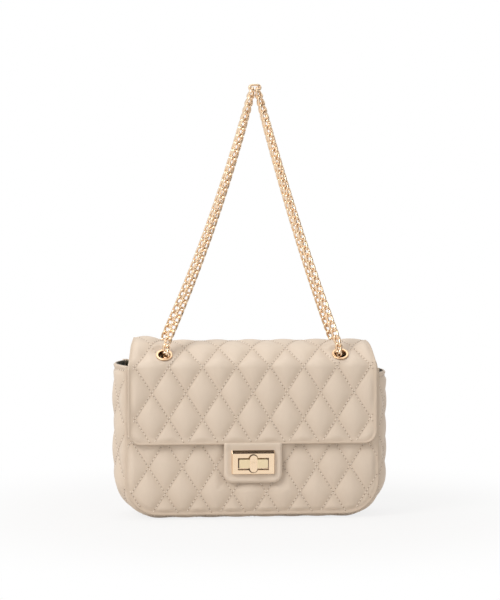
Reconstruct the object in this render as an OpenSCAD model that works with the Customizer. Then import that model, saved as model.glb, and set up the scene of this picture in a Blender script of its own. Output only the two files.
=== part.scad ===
// Quilted flap shoulder bag with a turn lock and a double chain strap.
// Millimetres, +Z up, the front faces -Y, the origin is the middle of the base.

/* [Body] */
// Width of the front and back panels, seam to seam
panel_w = 249; // [200:1:300]
// Depth of the closed bag, over the flap and the back panel
body_d = 80; // [68:1:100]
// Height of the top of the closed flap above the table
body_top = 171.5; // [150:0.5:210]
// Height of the crown of the flap above its two fold lines
crown_h = 23; // [19:0.5:30]
// Radius of the flap's two shoulders
shoulder_r = 13; // [9:0.5:15]
// Radius of the lower corners of the panels
panel_corner_r = 28; // [20:1:36]
// Thickness of a padded panel
panel_t = 4; // [3:0.5:5]
// How far the gussets swell out past the panels' side seams
gusset_swell = 10.5; // [6:0.5:14]
// Height of the panels' bottom seams above the table
seam_lift = 4.4; // [3:0.1:6]
// Thickness of the gusset strip
gusset_t = 3; // [2:0.5:3.5]
// Thickness of the lining
lining_t = 1; // [0.8:0.1:1.4]
// Thickness of the stiff board in the base
board_t = 2; // [1:0.5:3]

/* [Flap] */
// Width of the flap
flap_w = 244; // [190:1:296]
// Thickness of the flap's padded leather
flap_t = 3.8; // [3:0.1:4.5]
// Radius of the flap's lower corners
flap_corner_r = 13; // [8:1:20]
// Height of the flap's lower edge above the table
flap_low = 74; // [66:1:84]

/* [Tab and lock] */
// Width of the tab
tab_w = 57; // [48:1:66]
// Height of the tab's lower edge above the table
tab_low = 36.5; // [28:0.5:40]
// Thickness of the tab
tab_t = 2.6; // [2:0.1:3]
// Radius of the tab's lower corners
tab_corner_r = 9; // [6:0.5:14]
// Height of the lock's middle above the table
lock_z = 56; // [54:0.5:58]
// Width of the lock's frame
lock_w = 40.5; // [36:0.5:46]
// Height of the lock's frame
lock_h = 22.4; // [21.5:0.1:26]
// Thickness of the lock's frame
lock_t = 3; // [2.4:0.1:3.4]
// Length of the turning bar
bar_l = 28; // [24:0.5:31]
// Width of the turning bar
bar_w = 8.3; // [7.5:0.1:8.8]
// Thickness of the turning bar
bar_t = 2.6; // [2:0.1:3.2]

/* [Grommets] */
// Distance of the grommets from the middle of the bag
grommet_x = 86; // [70:1:100]
// Outer diameter of a grommet
grommet_d = 16.3; // [15:0.1:18]
// Diameter of the hole through a grommet
grommet_bore = 11.6; // [10.8:0.1:12]
// Elevation of a grommet's axis
grommet_tilt = 55; // [50:1:62]

/* [Chain strap] */
// Height of the top of the strap above the table
strap_top = 425; // [360:5:480]
// Sideways place of the top of the strap
strap_top_x = 4.7; // [-8:0.1:8]
// Diameter of the chain's wire
wire_d = 2.2; // [1.8:0.1:2.4]
// Outer width of a link
link_w = 8.2; // [7.6:0.1:8.6]
// Nominal distance from one link to the next
link_step = 7.6; // [7.2:0.1:8.4]

/* [Hidden] */
$fn = 36;
overrun = 1;
// Thickness of the slices that a swollen form is drawn through
skin = 0.01;
front_y = -body_d / 2;
back_y = body_d / 2;
fold_z = body_top - crown_h;
// Gap between the leather on the two sides of a fold
fold_gap = 0.3;
// Clearance between the closed flap and the front panel
flap_rest_gap = 0.5;
flap_lining_t = lining_t;
flap_stack = flap_t + flap_lining_t;
panel_face_y = front_y + flap_stack + flap_rest_gap;
panel_inner_y = panel_face_y + panel_t;
back_inner_y = back_y - panel_t;
// Depth of the panels' open rim under the fold lines
rim_drop = 1;
rim_z = fold_z - rim_drop;
gusset_d = back_inner_y - panel_inner_y;
gusset_mid_y = (back_inner_y + panel_inner_y) / 2;
// Share of the gusset's half depth over which the base lies flat
base_flat_share = 2 / 3;
// Slip between lining and shell
lining_gap = 0.1;
// Inset of the base board from the flat of the base
board_inset = 1;
// Clearance of the lining sheets inside the gusset
sheet_gap = 0.3;

// The crown is a dome that runs into the two shoulders
shoulder_y = body_d / 2 - shoulder_r;
dome_r = (shoulder_y * shoulder_y + crown_h * crown_h - shoulder_r * shoulder_r)
    / (2 * (crown_h - shoulder_r));
dome_z = body_top - dome_r;
dome_from = atan2(fold_z - dome_z, shoulder_y);
// How far the flap narrows from the folds to the top
crown_taper = 3;
// Radius of the flap's side edges at the crown
crown_edge_r = 4;

tab_top_z = flap_low - fold_gap;
// Depth of the tab's face behind the flap's face
tab_set_back = 0.8;
tab_face_y = front_y + tab_set_back;
tab_back_y = tab_face_y + tab_t;
lock_face_y = tab_face_y - lock_t;
// Clearance of the turning bar in the frame's window
window_gap = 1.1;
window_l = bar_l + 2 * window_gap;
window_w = bar_w + 2 * window_gap;
// Band across the middle of the turning bar
band_w = 7.3;
band_l = 16.6;
band_t = 0.8;
// Gap between the frame's face and the back of the turning bar
turn_gap = 0.4;
bar_back_y = lock_face_y - turn_gap;
bar_face_y = bar_back_y - bar_t;
bar_corner_r = 1;
lock_corner_r = 3;
lock_bevel = 2.4;
lock_edge_t = 1;
plate_t = 0.8;
plate_inset = 2;
post_d = 4;
post_gap = 0.05;
post_head_d = 3;
post_rivet_t = 0.5;
base_plate_l = 26;
base_plate_w = 12;
backing_d = 16;
backing_t = 1;
prong_d = 1.6;
prong_gap = 0.05;
prong_inset_x = 3.2;
prong_inset_z = 3.2;

grommet_r = grommet_d / 2;
bore_r = grommet_bore / 2;
grommet_lip_t = 1.2;
barrel_t = 0.6;
barrel_gap = 0.1;
washer_t = 0.8;
seat_gap = 0.3;
// Distance from the dome's middle of the flat that the grommet's lip sits on
seat_r = sqrt(dome_r * dome_r - grommet_r * grommet_r) - barrel_gap;
// Distance from the dome's middle of the flat that the washer sits against
under_r = dome_r - flap_t - seat_gap;
washer_r = grommet_r - washer_t;

link_gap = 0.3;
bow_r = (link_w - wire_d) / 2;
// Height of the strap's hinge line over the grommet's lip
pivot_lift = 2.5;
pivot_gap = 0.3;
pivot_r = seat_r + grommet_lip_t + pivot_lift;
pivot_y = -pivot_r * cos(grommet_tilt);
pivot_z = dome_z + pivot_r * sin(grommet_tilt);
// The chain is pulled to the inner side of the grommets' bores and lies against them
chain_rest_gap = 0.05;
chain_x = grommet_x - bore_r + link_w / 2 + chain_rest_gap;
// Half the depth of a chain whose links lie at 45 degrees
chain_half = bow_r * sin(45) + wire_d / 2;
// Gap between the two strands at the top of the strap
strand_gap = 0.8;
apex_y = -chain_half - strand_gap / 2;
apex_z = strap_top - chain_half;
strand_h = norm([apex_y - pivot_y, apex_z - pivot_z]);
strand_lean = atan2(apex_y - pivot_y, apex_z - pivot_z);
// Radius of the strap's top and the elevation of its legs there
apex_r = 12;
leg_rise = 76;
// Height over which a leg leaves its grommet upright
foot_rise = 18;
// Links over which a chain turns from a grommet's hinge line to its own lie
turning_links = 5;

leather = [0.86, 0.80, 0.72];
lining_brown = [0.33, 0.29, 0.22];
gold = [0.88, 0.70, 0.48];

// Points on an arc
function arc(c, r, from, to, n) =
    [for (i = [0:n]) let (a = from + (to - from) * i / n) c + r * [cos(a), sin(a)]];

// A plate standing in the XZ plane with its face at y, square above and round below
module hanging_plate(w, low, high, r, y, t) {
    translate([0, y + t, 0]) rotate([90, 0, 0]) linear_extrude(t) polygon(concat(
        [[w / 2, high], [-w / 2, high]],
        arc([-w / 2 + r, low + r], r, 180, 270, 8),
        arc([w / 2 - r, low + r], r, 270, 360, 8)));
}

// A rectangle with round corners about the origin
module round_rect(w, h, r) {
    polygon(concat(
        arc([w / 2 - r, h / 2 - r], r, 0, 90, 6),
        arc([-w / 2 + r, h / 2 - r], r, 90, 180, 6),
        arc([-w / 2 + r, -h / 2 + r], r, 180, 270, 6),
        arc([w / 2 - r, -h / 2 + r], r, 270, 360, 6)));
}

// Stands a drawing on the lock's middle, its back at y and t thick towards the front
module at_lock(y, t) {
    translate([0, y, lock_z]) rotate([90, 0, 0]) linear_extrude(t) children();
}

// The space inside the gusset strip's outer face, drawn in by inset and open at the top
module gusset_space(inset, low_inset, reach) {
    shares = [for (i = [-6:6]) i / 6];
    hull() for (s = shares) {
        w = panel_w + 2 * gusset_swell * (1 - s * s) - 2 * inset;
        low = seam_lift * pow(max(0, (abs(s) - base_flat_share) / (1 - base_flat_share)), 2);
        y = gusset_mid_y + s * (gusset_d / 2 + (abs(s) < 1 ? 0 : reach));
        r = panel_corner_r + gusset_swell * (1 - s * s) - inset;
        hanging_plate(w, low + low_inset, rim_z + (inset > 0 ? overrun : 0), r,
            y - (s > 0 ? skin : 0), skin);
    }
}
module front_panel() color(leather) difference() {
    hanging_plate(panel_w, seam_lift, rim_z, panel_corner_r, panel_face_y, panel_t);
    at_lock(panel_inner_y + overrun, panel_t + 2 * overrun)
        circle(d = post_d + 2 * post_gap);
    at_lock(panel_inner_y + overrun, backing_t + overrun)
        circle(d = backing_d + 2 * post_gap);
}

module back_panel() color(leather)
    hanging_plate(panel_w, seam_lift, fold_z - fold_gap / 2, panel_corner_r, back_inner_y, panel_t);

module gusset_strip() color(leather) difference() {
    gusset_space(0, 0, 0);
    gusset_space(gusset_t, gusset_t, overrun);
}

module base_board() color("sienna") {
    long = panel_w - 2 * panel_corner_r - 2 * board_inset;
    deep = gusset_d * base_flat_share - 2 * board_inset;
    translate([0, gusset_mid_y, gusset_t]) linear_extrude(board_t)
        round_rect(long, deep, gusset_t);
}

module front_lining() color(lining_brown)
    hanging_plate(panel_w - 2 * gusset_t - 2 * sheet_gap, seam_lift + gusset_t + sheet_gap, rim_z,
        panel_corner_r - gusset_t, panel_inner_y, lining_t);

module back_lining() color(lining_brown)
    hanging_plate(panel_w - 2 * gusset_t - 2 * sheet_gap, seam_lift + gusset_t + sheet_gap, rim_z,
        panel_corner_r - gusset_t, back_inner_y - lining_t, lining_t);

module gusset_lining() color(lining_brown) intersection() {
    difference() {
        gusset_space(gusset_t + lining_gap, gusset_t + board_t + lining_gap, 0);
        gusset_space(gusset_t + lining_gap + lining_t, gusset_t + board_t + lining_gap + lining_t, overrun);
    }
    translate([-panel_w, panel_inner_y + lining_t + sheet_gap, 0])
        cube([2 * panel_w, gusset_d - 2 * lining_t - 2 * sheet_gap, rim_z]);
}

// Slip pocket sewn to the back lining
pocket_w = 140;
pocket_h = 90;
pocket_low = 40;
pocket_corner_r = 8;
module slip_pocket() color(lining_brown)
    hanging_plate(pocket_w, pocket_low, pocket_low + pocket_h, pocket_corner_r,
        back_inner_y - 2 * lining_t, lining_t);

module lock_base_plate() color(gold)
    at_lock(panel_face_y, plate_t) difference() {
        round_rect(base_plate_l, base_plate_w, lock_corner_r);
        circle(d = post_d + 2 * post_gap);
    }

module lock_backing_washer() color(gold)
    at_lock(panel_inner_y, backing_t) difference() {
        circle(d = backing_d);
        circle(d = post_d + 2 * post_gap);
    }

module lock_post() color(gold) {
    at_lock(panel_inner_y, panel_inner_y - bar_face_y + band_t) circle(d = post_d);
    at_lock(bar_face_y - band_t, post_rivet_t) circle(d = post_head_d);
}

module turn_bar() color(gold)
    at_lock(bar_back_y, bar_t) difference() {
        round_rect(bar_l, bar_w, bar_corner_r);
        circle(d = post_d + 2 * post_gap);
    }

module turn_band() color(gold)
    at_lock(bar_face_y, band_t) difference() {
        round_rect(band_w, band_l, band_w / 2 - post_gap);
        circle(d = post_d + 2 * post_gap);
    }

// The flap's side profile, drawn in by inset
module crown_profile(inset) {
    low = fold_z - overrun - inset;
    polygon(concat(
        [[body_d / 2 - inset, low]],
        arc([shoulder_y, fold_z], shoulder_r - inset, 0, dome_from, 6),
        arc([0, dome_z], dome_r - inset, dome_from, 180 - dome_from, 16),
        arc([-shoulder_y, fold_z], shoulder_r - inset, 180 - dome_from, 180, 6),
        [[-body_d / 2 + inset, low]]));
}

// The flap's front outline over the fold lines
module crown_outline(w) {
    top_w = w - 2 * crown_taper;
    low = fold_z + fold_gap / 2;
    translate([0, body_d, 0]) rotate([90, 0, 0]) linear_extrude(2 * body_d) polygon(concat(
        [[-w / 2, low], [w / 2, low]],
        arc([top_w / 2 - crown_edge_r, body_top - crown_edge_r], crown_edge_r, 0, 90, 5),
        arc([-top_w / 2 + crown_edge_r, body_top - crown_edge_r], crown_edge_r, 90, 180, 5)));
}

module crown_shell(w, outer, inner) intersection() {
    translate([-w / 2, 0, 0]) rotate([90, 0, 90]) linear_extrude(w) difference() {
        crown_profile(outer);
        crown_profile(inner);
    }
    crown_outline(w);
}

// Places children at the four grommets, their axis along +Z from the dome's middle
module at_grommet(side, row) {
    translate([side * grommet_x, 0, dome_z]) rotate([-row * (90 - grommet_tilt), 0, 0]) children();
}
module at_each_grommet() for (side = [-1, 1], row = [-1, 1]) at_grommet(side, row) children();

module flap_top_leather() color(leather) difference() {
    crown_shell(flap_w, 0, flap_t);
    at_each_grommet() {
        cylinder(r = bore_r + barrel_t + barrel_gap, h = 2 * dome_r);
        translate([0, 0, seat_r]) cylinder(r = grommet_r + barrel_gap, h = dome_r);
        cylinder(r = washer_r + barrel_gap, h = under_r);
    }
}

module flap_top_lining() color(lining_brown) difference() {
    crown_shell(flap_w - 2 * crown_edge_r, flap_t, flap_stack);
    at_each_grommet() cylinder(r = grommet_r + barrel_gap, h = 2 * dome_r);
}

// An eyelet with a rounded lip on a plain barrel
module grommet(side, row) color(gold) at_grommet(side, row) {
    lip = grommet_lip_t / 2;
    depth = seat_r - under_r + washer_t;
    rotate_extrude() translate([0, seat_r]) polygon(concat(
        [[bore_r, -depth], [bore_r + barrel_t, -depth], [bore_r + barrel_t, 0]],
        arc([grommet_r - lip, lip], lip, -90, 90, 6),
        arc([bore_r + lip, lip], lip, 90, 180, 4)));
}

// The washer that the barrel is set on, under the leather
module washer(side, row) color(gold) at_grommet(side, row)
    translate([0, 0, under_r - washer_t]) linear_extrude(washer_t) difference() {
        circle(washer_r);
        circle(bore_r + barrel_t + barrel_gap / 2);
    }

module grommet_front_left() grommet(-1, -1);
module grommet_front_right() grommet(1, -1);
module grommet_back_left() grommet(-1, 1);
module grommet_back_right() grommet(1, 1);
module washer_front_left() washer(-1, -1);
module washer_front_right() washer(1, -1);
module washer_back_left() washer(-1, 1);
module washer_back_right() washer(1, 1);

module flap_front_leather() color(leather)
    hanging_plate(flap_w, flap_low, fold_z - fold_gap / 2, flap_corner_r, front_y, flap_t);

// The lining stops short of the flap's turned edge
lining_inset = 2;
module flap_front_lining() color(lining_brown)
    hanging_plate(flap_w - 2 * lining_inset, flap_low + lining_inset, fold_z - fold_gap / 2,
        flap_corner_r - lining_inset, front_y + flap_t, flap_lining_t);

// The frame's window: a slot for the bar, crossed by one for its band
module lock_window(gap) {
    square([window_l + 2 * gap, window_w + 2 * gap], center = true);
    round_rect(band_w + 2 * window_gap + 2 * gap, band_l + 2 * window_gap + 2 * gap, band_w / 2);
}
module prong_places() {
    for (x = [-1, 1], z = [-1, 1])
        translate([x * (lock_w / 2 - prong_inset_x), z * (lock_h / 2 - prong_inset_z)]) children();
}

module tab_leather() color(leather) difference() {
    hanging_plate(tab_w, tab_low, tab_top_z, tab_corner_r, tab_face_y, tab_t);
    at_lock(tab_back_y + overrun, tab_t + 2 * overrun) {
        lock_window(prong_gap);
        prong_places() circle(d = prong_d + 2 * prong_gap);
    }
}

module lock_frame() color(gold) difference() {
    hull() {
        at_lock(tab_face_y, lock_edge_t) round_rect(lock_w, lock_h, lock_corner_r);
        at_lock(tab_face_y, lock_t)
            round_rect(lock_w - lock_bevel, lock_h - lock_bevel, lock_corner_r - lock_bevel / 2);
    }
    at_lock(tab_face_y + overrun, lock_t + 2 * overrun) lock_window(0);
}

module lock_frame_plate() color(gold)
    at_lock(tab_back_y + plate_t, plate_t) difference() {
        round_rect(lock_w - plate_inset, lock_h - plate_inset, lock_corner_r);
        lock_window(prong_gap);
        prong_places() circle(d = prong_d + 2 * prong_gap);
    }

module lock_frame_prongs() color(gold)
    at_lock(tab_back_y + plate_t, tab_t + plate_t) prong_places() circle(d = prong_d);

// Points of a curve that leaves p towards q and reaches s from r
function bend(p, q, r, s, n) =
    [for (i = [0:n]) let (t = i / n, u = 1 - t)
        u * u * u * p + 3 * t * u * u * q + 3 * t * t * u * r + t * t * t * s];
function run_length(p, i = 0, s = 0) =
    i + 1 >= len(p) ? s : run_length(p, i + 1, s + norm(p[i + 1] - p[i]));
// The point that lies s along a run of points
function along(p, s, i = 0) =
    let (d = norm(p[i + 1] - p[i]))
    s <= d || i + 2 >= len(p) ? p[i] + (p[i + 1] - p[i]) * s / d : along(p, s - d, i + 1);
function joints(p) =
    let (total = run_length(p), n = round(total / link_step))
    [for (i = [0:n]) along(p, total * i / n)];

// A flat oval link along +Z, turned by roll about its length
module link(pitch, roll) {
    h = (pitch + wire_d + link_gap) / 2 - bow_r;
    rotate(roll) for (end = [0, 180]) rotate([end, 0, 0]) {
        translate([0, 0, h]) rotate([90, 0, 0])
            rotate_extrude(angle = 180) translate([bow_r, 0]) circle(d = wire_d);
        for (side = [-1, 1]) translate([side * bow_r, 0, 0]) cylinder(d = wire_d, h = h);
    }
}

// The end links cross the run's plane, and over turning_links the rest come to lie at 45 degrees to it
function roll_shift(i, n) =
    let (rest = n - 1 - i)
    i < turning_links ? 45 * i / turning_links
    : rest >= turning_links ? 45
    : 45 * rest / turning_links + (n % 2 == 0 ? 90 * (1 - rest / turning_links) : 0);
function link_roll(i, n) = (i % 2 == 0 ? 90 : 0) + roll_shift(i, n);

// A chain along a run of points in the XZ plane
module chain_along(points) {
    j = joints(points);
    n = len(j) - 1;
    pitch = run_length(points) / n;
    for (i = [0:n - 1]) {
        m = (j[i] + j[i + 1]) / 2;
        v = j[i + 1] - j[i];
        translate([m.x, 0, m.y]) rotate([0, atan2(v.x, v.y), 0]) link(pitch, link_roll(i, n));
    }
}

// One strand, from the left grommet over the top to the right one
module strand(top_x) {
    foot = -(wire_d / 2 + pivot_gap - link_gap / 2);
    top = [top_x, strand_h - apex_r];
    off = apex_r * [sin(leg_rise), cos(leg_rise)];
    reach = strand_h / 3;
    in = reach * [cos(leg_rise), sin(leg_rise)];
    a = [-chain_x, foot];
    b = [-chain_x, foot + link_step];
    c = [top_x - off.x, top.y + off.y];
    d = [top_x + off.x, top.y + off.y];
    e = [chain_x, foot + link_step];
    f = [chain_x, foot];
    rise = [0, foot_rise];
    points = concat([a], bend(b, b + rise, c - in, c, 30),
        arc(top, apex_r, 90 + leg_rise, 90 - leg_rise, 18),
        bend(d, [d.x + in.x, d.y - in.y], e + rise, e, 30), [f]);
    chain_along(points);
}

module front_chain() color(gold)
    translate([0, pivot_y, pivot_z]) rotate([-strand_lean, 0, 0]) strand(strap_top_x);
module back_chain() color(gold)
    rotate(180) translate([0, pivot_y, pivot_z]) rotate([-strand_lean, 0, 0]) strand(-strap_top_x);

// The chain inside the flap, from the front grommet down and up to the back one
module inner_chain(side) color(gold) {
    start_r = pivot_r - wire_d / 2 - link_gap / 2;
    in_dir = [cos(grommet_tilt), -sin(grommet_tilt)];
    a = -start_r * in_dir;
    b = a + link_step * in_dir;
    left = norm(b);
    r = left / tan(grommet_tilt);
    mid = [0, left / sin(grommet_tilt)];
    translate([side * chain_x, 0, dome_z]) rotate(90) chain_along(concat(
        [a], arc(mid, r, 270 - grommet_tilt, 270 + grommet_tilt, 24), [[-a.x, a.y]]));
}
module inner_chain_left() inner_chain(-1);
module inner_chain_right() inner_chain(1);

front_panel();
back_panel();
gusset_strip();
base_board();
front_lining();
back_lining();
gusset_lining();
slip_pocket();
lock_base_plate();
lock_backing_washer();
lock_post();
turn_bar();
turn_band();
flap_top_leather();
flap_top_lining();
grommet_front_left();
grommet_front_right();
grommet_back_left();
grommet_back_right();
washer_front_left();
washer_front_right();
washer_back_left();
washer_back_right();
inner_chain_left();
inner_chain_right();
flap_front_leather();
flap_front_lining();
tab_leather();
lock_frame();
lock_frame_plate();
lock_frame_prongs();
front_chain();
back_chain();
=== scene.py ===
"""Dresses the quilted flap shoulder bag: padded leather, stitches, lining, chain strap, lock and studio."""
import math
import bmesh
import bpy
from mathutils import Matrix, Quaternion, Vector, geometry, noise


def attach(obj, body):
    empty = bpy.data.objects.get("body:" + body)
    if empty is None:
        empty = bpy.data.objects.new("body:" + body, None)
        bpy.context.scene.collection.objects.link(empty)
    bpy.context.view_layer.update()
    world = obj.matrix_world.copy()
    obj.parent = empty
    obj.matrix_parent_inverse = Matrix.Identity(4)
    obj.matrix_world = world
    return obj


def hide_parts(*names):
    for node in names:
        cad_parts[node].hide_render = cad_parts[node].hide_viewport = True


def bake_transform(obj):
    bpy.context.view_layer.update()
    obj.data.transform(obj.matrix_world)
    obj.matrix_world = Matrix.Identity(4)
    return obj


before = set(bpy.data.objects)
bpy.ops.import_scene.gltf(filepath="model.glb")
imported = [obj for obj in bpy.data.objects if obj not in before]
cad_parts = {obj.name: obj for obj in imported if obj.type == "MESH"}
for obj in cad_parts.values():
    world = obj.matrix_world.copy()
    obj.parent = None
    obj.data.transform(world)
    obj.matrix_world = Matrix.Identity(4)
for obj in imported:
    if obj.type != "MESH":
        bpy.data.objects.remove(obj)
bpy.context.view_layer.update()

bl_info = {
    "name": "Quilted Shoulder Bag",
    "version": (1, 0, 0),
    "blender": (4, 5, 0),
    "location": "3D View > Sidebar > Bag",
    "description": "Makes the padded leather, stitching, lining, strap and lock of a quilted flap bag",
    "category": "Object",
}

MM = 0.001

# Sizes are in millimetres. The body has rounder lower corners and a less even rim than its solids. Its front
# stands out below the flap, and each panel thins to its rim and rolls over its edges
PANEL_W = 249
PANEL_R = 33
PANEL_Y = -34.7
PANEL_T = 4
BACK_Y = 40
SEAM_Z = 4.4
RIM_Z = 147.5
RIM_LEFT_RISE = 3.5
RIM_RIGHT_DROP = 5
RIM_RISE_FROM = RIM_Z - 40
PANEL_PROUD = 1.8
PANEL_RIM_T = 0.6
PANEL_ROLL = 3.0
PANEL_ROLL_REACH = 8
# A plate's width, low edge and corner radius
PANEL = (PANEL_W, SEAM_Z, PANEL_R)
# How far left of the middle each panel's upper left corner begins to rise, and where it stands full
FRONT_CORNER = (104, 122)
BACK_CORNER = (115, 120)
# The gusset, which swells between the panels and lies flat on the floor over a share of its depth
GUSSET_T = 3
GUSSET_FROM = -30.7
GUSSET_TO = 36
GUSSET_MIDDLE = (GUSSET_FROM + GUSSET_TO) / 2
GUSSET_REACH = (GUSSET_TO - GUSSET_FROM) / 2
GUSSET_SWELL = 10.5
BASE_FLAT = 2 / 3
GUSSET_STEP = 1.5
GUSSET_BORDER = 4
# The way round the gusset's middle: down a side, a corner and half the base, and all of it from rim to rim
SIDE_RUN = RIM_Z - SEAM_Z - PANEL_R
CORNER_RUN = PANEL_R * math.pi / 2
BASE_RUN = PANEL_W / 2 - PANEL_R
GUSSET_RUN = 2 * (SIDE_RUN + CORNER_RUN + BASE_RUN)
# How far its upper row of stitches lies below a rim, and half the depth that is stitched
RIM_STITCHES = 4.6
STITCHED_DEPTH = 31
# The flap's front, then the arcs of its crown: the front shoulder, the dome and the back shoulder
FLAP_Y = -40
FLAP_W = 244
FLAP_LOW = 74
FLAP_R = 13
FLAP_T = 3.8
FOLD_Z = 148.5
SHOULDER_R = 13
SHOULDER_Y = 27
DOME_R = 54.45
DOME_Z = 117.05
DOME_FROM = math.atan2(FOLD_Z - DOME_Z, SHOULDER_Y)
SHOULDER_RUN = SHOULDER_R * DOME_FROM
DOME_RUN = DOME_R * (math.pi - 2 * DOME_FROM)
FLAP_END = FOLD_Z + 2 * SHOULDER_RUN + DOME_RUN
# How much the flap narrows by its crown's top and behind it, how its sides roll and how high it is padded
CROWN_TOP = 171.5
CROWN_TAPER = 4
BACK_TAPER = 3.6
CROWN_EDGE = 6
CROWN_ROLL = 3
CROWN_RISE = 2.2
CROWN_LEFT_RISE = 4.2
# The flap's turned border and the height of its leather round a grommet
BORDER = 2.4
BORDER_RISE = 1.2
GROMMET_SEAT = -0.85
# Half the height, the width, the depth and the thickness of the strip inside the flap's back fold
FOLD_STRIP = 5
FOLD_STRIP_W = 234
FOLD_STRIP_IN = 3.35
FOLD_STRIP_T = 0.35
# The tab, which steps forward to lie on the flap's edge
TAB_W = 57
TAB_LOW = 36.5
TAB_TOP = 73.7
TAB_SEWN = 75.8
TAB_R = 9
TAB_Y = -39.2
TAB_T = 2.6
TAB_STEP = 1.7
TAB_SEWN_REAR = -40.15
# Half the width, the low end and the high end of each opening of the tab, from the lock's middle
TAB_OPENINGS = ((16.2, -7.6, 6.2), (5.6, -10, 9.4))
LOCK_Z = 56
# The lock's frame, whose window and slot leave room round the bar and its band
LOCK_FRAME_W = 42.2
LOCK_FRAME_H = 23.6
LOCK_FRAME_RISE = 0.8
LOCK_FRAME_R = 1.2
LOCK_BEVEL = 0.7
LOCK_TOP_BEVEL = 3.1
LOCK_T = 3
LOCK_EDGE_T = 1
LOCK_SINK = 0.3
LOCK_WINDOW_L = 30.2
LOCK_WINDOW_LOW = -6.7
LOCK_WINDOW_HIGH = 5.3
LOCK_SLOT_W = 9.5
LOCK_SLOT_LOW = -9.5
LOCK_SLOT_HIGH = 9
# The grommets, and the radius of the hole for one in the leather and in the lining
GROMMET_X = 86
GROMMET_TILT = math.radians(55)
GROMMET_R = 8.15
HOLE_R = 6.9
WASHER_R = 7.5
# The lining and its slip pocket
CLOTH_T = 0.5
CLOTH_GAP = 0.15
CLOTH_LOW = SEAM_Z + GUSSET_T + 0.3
CLOTH_W = PANEL_W - 2 * GUSSET_T - 0.6
CLOTH = (CLOTH_W, CLOTH_LOW, PANEL_R - GUSSET_T)
FLOOR_CLOTH_Z = 5.3
POCKET_W = 140
POCKET_LOW = 40
POCKET_TOP = 130
POCKET_R = 8
# Where lines of stitches cross on a piece's middle line: a height, or the way from the gusset's rim. The
# front's crossings lie a little to the left
PANEL_CROSS = 52.0
PANEL_CROSS_X = -3.2
BACK_CROSS = 94.8
FLAP_CROSS = 125.1
SIDE_CROSS = 60.0
# Share of a diamond's half that lies flat beside its line of stitches
SEAM_SHARE = 0.07
# Radius of a needle hole, and how far it and a stitch stand over the leather
NEEDLE_R = 0.54
NEEDLE_LIFT = 0.30
STITCH_LIFT = 0.16
# The strap's route between its grommets and its top, from the wire and width of the solids' links
LINK_STEP = 7.6
LINK_GAP = 0.3
WIRE = 2.2
LINK_W = 8.2
BOW_R = 3.0
PIVOT_Y = -32.944
PIVOT_Z = 164.099
PIVOT_R = 57.4366
CHAIN_X = 84.35
STRAP_TOP = 425
TOP_X = 4.7
LEG_RISE = math.radians(75.5)
LEG_PULL = 0.6
FOOT_RISE = 4
STRAND_Y = -(LINK_W + 0.8) / 2 - PIVOT_Y
STRAND_Z = STRAP_TOP - LINK_W / 2 - PIVOT_Z
STRAND_L = math.hypot(STRAND_Y, STRAND_Z)
TURNING_LINKS = 5
# The stage: its colours, the world's light on the bag, and the camera, in metres but for its sensor
FLOOR_COLOUR = (0.72, 0.69, 0.66)
# Colour of the dark cards that show only in reflections, which paint dark reflections on the gold
CARD_COLOUR = (0.08, 0.06, 0.05)
WORLD_LIGHT = 0.57
CAMERA_AIM = (0.0, 0, 0.2125)
CAMERA_DISTANCE = 2.6
CAMERA_YAW = math.radians(4.5)
CAMERA_RISE = math.radians(4)
PICTURE_H = 0.591
SENSOR_H = 24


def smooth(value, low, high):
    """0 below low, 1 above high, and a smooth step between."""
    t = min(max((value - low) / (high - low), 0), 1)
    return t * t * (3 - 2 * t)


def spread(low, high, step):
    """Even values from low to high, about step apart."""
    n = max(1, round((high - low) / step))
    return [low + (high - low) * i / n for i in range(n + 1)]


# Sizes and colours


def length(name, note, usual, least, most):
    """A setting for a length in metres."""
    return bpy.props.FloatProperty(name=name, description=note, default=usual, min=least, max=most,
                                   subtype="DISTANCE")


def tint(name, note, usual):
    """A setting for a colour."""
    return bpy.props.FloatVectorProperty(name=name, description=note, default=usual, min=0, max=1,
                                         subtype="COLOR")


class BagQuilting(bpy.types.PropertyGroup):
    """Sizes of the quilting and its stitches"""

    diamond_width: length("Diamond width", "Width of a quilted diamond", 0.0329, 0.02, 0.06)
    diamond_height: length("Diamond height", "Height of a quilted diamond", 0.0513, 0.02, 0.09)
    puff: length("Puff", "Height of a diamond's middle over its stitches", 0.0033, 0, 0.006)
    stitch_step: length("Stitch step", "Distance from one stitch to the next", 0.0038, 0.002, 0.006)
    stitch_length: length("Stitch length", "Length of thread that shows in a stitch", 0.0026, 0.001, 0.005)
    thread: length("Thread", "Thickness of the thread", 0.0007, 0.0002, 0.001)


class BagStrap(bpy.types.PropertyGroup):
    """Sizes of the chain strap"""

    wire: length("Wire", "Diameter of the chain's wire", 0.0025, 0.001, 0.003)
    link_width: length("Link width", "Outer width of a link", 0.0079, 0.006, 0.01)
    link_twist: bpy.props.FloatProperty(
        name="Link twist", description="How far a link is twisted from its middle to each end",
        default=math.radians(45), min=0, max=math.radians(60), subtype="ANGLE")


class BagColours(bpy.types.PropertyGroup):
    """Colours of the bag's materials"""

    leather: tint("Leather", "Colour of the padded leather", (0.725, 0.605, 0.487))
    thread: tint("Thread", "Colour of the stitching", (0.90, 0.80, 0.69))
    hole: tint("Needle hole", "Colour of the shade in a needle hole", (0.27, 0.20, 0.145))
    gold: tint("Gold", "Colour of the light gold fittings", (0.94, 0.73, 0.52))
    soft_gold: tint("Soft gold", "Colour of the grommets", (0.80, 0.56, 0.36))
    pale_gold: tint("Pale gold", "Colour of the turning bar", (0.92, 0.76, 0.50))
    lining: tint("Lining", "Colour of the lining cloth", (0.085, 0.075, 0.045))
    board: tint("Board", "Colour of the stiff board in the base", (0.42, 0.33, 0.22))


# Materials


def colour_of(name):
    """The colour that a setting gives, as plain numbers."""
    return tuple(getattr(bpy.context.scene.bag_colours, name))


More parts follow.
